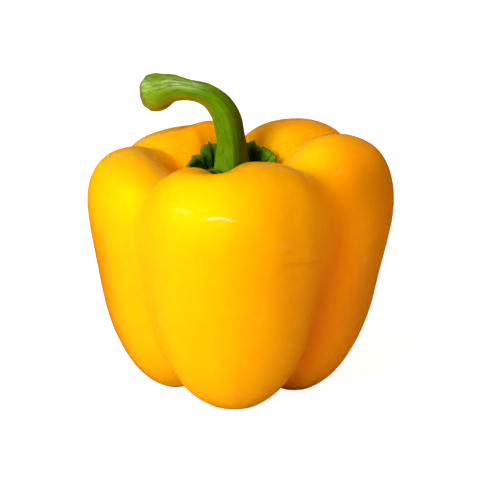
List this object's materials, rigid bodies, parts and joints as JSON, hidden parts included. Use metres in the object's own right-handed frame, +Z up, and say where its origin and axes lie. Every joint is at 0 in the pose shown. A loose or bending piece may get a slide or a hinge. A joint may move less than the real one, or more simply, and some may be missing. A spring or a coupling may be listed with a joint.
{
  "type": "bell pepper",
  "caption": "Yellow bell pepper standing on the feet of its lobes, with a dark star-shaped calyx in its crown and a thick green hooked stem.",
  "frame": {"origin": "on the ground, under the middle of the pepper's bounding box", "axes": "+Z up along the fruit's own axis, from the blossom end to the stem; the broad front lobe faces -Y; the stem hooks over towards -X and slightly back"},
  "size_m": [0.091, 0.0868, 0.0951],
  "materials": {
    "skin": "smooth waxy yellow skin with a soft gloss, deeper orange in the grooves",
    "calyx_green": "dark green leathery leaf with paler ribs",
    "stem_green": "mid green ribbed stalk with a satin sheen, paler at its swollen cut end"
  },
  "bodies": {
    "root": {"fruit": "skin", "calyx": "calyx_green", "stem": "stem_green"}
  },
  "joints": []
}
